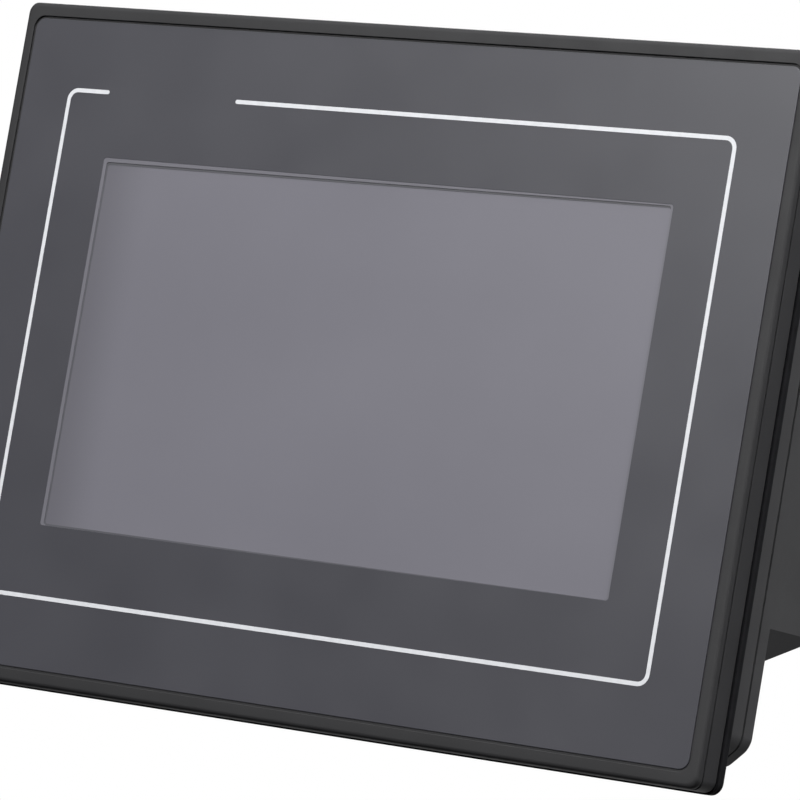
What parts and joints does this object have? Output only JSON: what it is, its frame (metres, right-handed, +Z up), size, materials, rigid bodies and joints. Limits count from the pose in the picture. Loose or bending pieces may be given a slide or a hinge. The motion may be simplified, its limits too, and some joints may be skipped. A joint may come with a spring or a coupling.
{
  "type": "hmi touch panel",
  "caption": "Wide-screen touch operator panel for a cabinet door: flat bezel with printed film, gasket, deep rear housing, connector bay, screw terminal, battery door and button.",
  "frame": {"origin": "centre of the bezel's rear face, which carries the door gasket", "axes": "+X to the right seen from the front, +Y from the screen into the cabinet, +Z up"},
  "size_m": [0.2158, 0.055, 0.1618],
  "materials": {
    "charcoal_plastic": "fine moulded grain, low sheen",
    "printed_film": "satin hard-coated film",
    "white_ink": "smooth screen-printed ink",
    "touch_surface": "satin anti-glare surface over an unlit display",
    "seal_rubber": "matt",
    "foam": "matt closed-cell foam",
    "sheet_steel": "zinc plated",
    "display_black": "gloss",
    "diffuser": "satin",
    "flex_amber": "gloss",
    "lead_pvc": "satin",
    "screw_steel": "zinc plated",
    "board_mask": "satin solder mask",
    "brass_parts": "machined",
    "chip_black": "moulded epoxy",
    "fin_aluminium": "extruded, clear anodised",
    "ferrite": "sintered",
    "can_aluminium": "drawn",
    "socket_ivory": "satin",
    "port_metal": "nickel plated, satin",
    "port_insulator": "moulded",
    "terminal_green": "satin",
    "tinned_copper": "tin plated",
    "cell_steel": "nickel plated",
    "label_silver": "satin foil",
    "door_plastic": "fine moulded grain",
    "button_grey": "satin"
  },
  "bodies": {
    "panel": {"front_bezel": "charcoal_plastic", "overlay_film": "printed_film", "outline_print": "white_ink", "touch_glass": "touch_surface", "touch_tail": "flex_amber", "display_gasket": "foam", "lcd_cell": "display_black", "lcd_frame": "sheet_steel", "backlight_unit": "diffuser", "lcd_flex": "flex_amber", "backlight_lead": "lead_pvc", "chassis_plate": "sheet_steel", "chassis_screws": "screw_steel", "panel_gasket": "seal_rubber", "front_housing": "charcoal_plastic", "rear_cover": "charcoal_plastic", "rear_cover_screws": "screw_steel", "main_board": "board_mask", "board_standoffs": "brass_parts", "board_screws": "screw_steel", "processor": "chip_black", "heat_sink": "fin_aluminium", "memory_chips": "chip_black", "power_coil": "ferrite", "capacitors": "can_aluminium", "buzzer": "chip_black", "board_sockets": "socket_ivory", "ethernet_port": "port_metal", "usb_host_port": "port_metal", "usb_device_port": "port_metal", "com1_port": "port_metal", "com2_port": "port_metal", "jack_screws": "screw_steel", "power_terminal": "terminal_green", "terminal_contacts": "tinned_copper", "battery_holder": "chip_black", "coin_cell": "cell_steel", "battery_contacts": "brass_parts", "rating_label": "label_silver", "system_switch": "chip_black"},
    "screw_1": {"terminal_screw_1": "screw_steel"},
    "clamp_1": {"terminal_clamp_1": "tinned_copper"},
    "screw_2": {"terminal_screw_2": "screw_steel"},
    "clamp_2": {"terminal_clamp_2": "tinned_copper"},
    "screw_3": {"terminal_screw_3": "screw_steel"},
    "clamp_3": {"terminal_clamp_3": "tinned_copper"},
    "battery_door": {"battery_door": "door_plastic"},
    "system_button": {"system_button": "button_grey", "switch_plunger": "chip_black"}
  },
  "joints": [
    {"name": "terminal_screw_1_turn", "type": "hinge", "parent": "panel", "child": "screw_1", "pos_m": [0.06092, 0.025, -0.0615], "axis": [0, -1, 0], "range_deg": [0, 1441]},
    {"name": "terminal_clamp_1_rise", "type": "slide", "parent": "panel", "child": "clamp_1", "axis": [0, 1, 0], "range_m": [0, 0.002]},
    {"name": "terminal_screw_2_turn", "type": "hinge", "parent": "panel", "child": "screw_2", "pos_m": [0.066, 0.025, -0.0615], "axis": [0, -1, 0], "range_deg": [0, 1441]},
    {"name": "terminal_clamp_2_rise", "type": "slide", "parent": "panel", "child": "clamp_2", "axis": [0, 1, 0], "range_m": [0, 0.002]},
    {"name": "terminal_screw_3_turn", "type": "hinge", "parent": "panel", "child": "screw_3", "pos_m": [0.07108, 0.025, -0.0615], "axis": [0, -1, 0], "range_deg": [0, 1441]},
    {"name": "terminal_clamp_3_rise", "type": "slide", "parent": "panel", "child": "clamp_3", "axis": [0, 1, 0], "range_m": [0, 0.002]},
    {"name": "battery_door_pull", "type": "slide", "parent": "panel", "child": "battery_door", "axis": [0, 1, 0], "range_m": [0, 0.012]},
    {"name": "system_button_press", "type": "slide", "parent": "panel", "child": "system_button", "axis": [0, -1, 0], "range_m": [0, 0.0004], "stiffness_N_per_m": 1500}
  ],
  "couplings": [
    {"joint": "terminal_screw_1_turn", "follows": "terminal_clamp_1_rise", "rad_per_m": 12566},
    {"joint": "terminal_screw_2_turn", "follows": "terminal_clamp_2_rise", "rad_per_m": 12566},
    {"joint": "terminal_screw_3_turn", "follows": "terminal_clamp_3_rise", "rad_per_m": 12566}
  ]
}
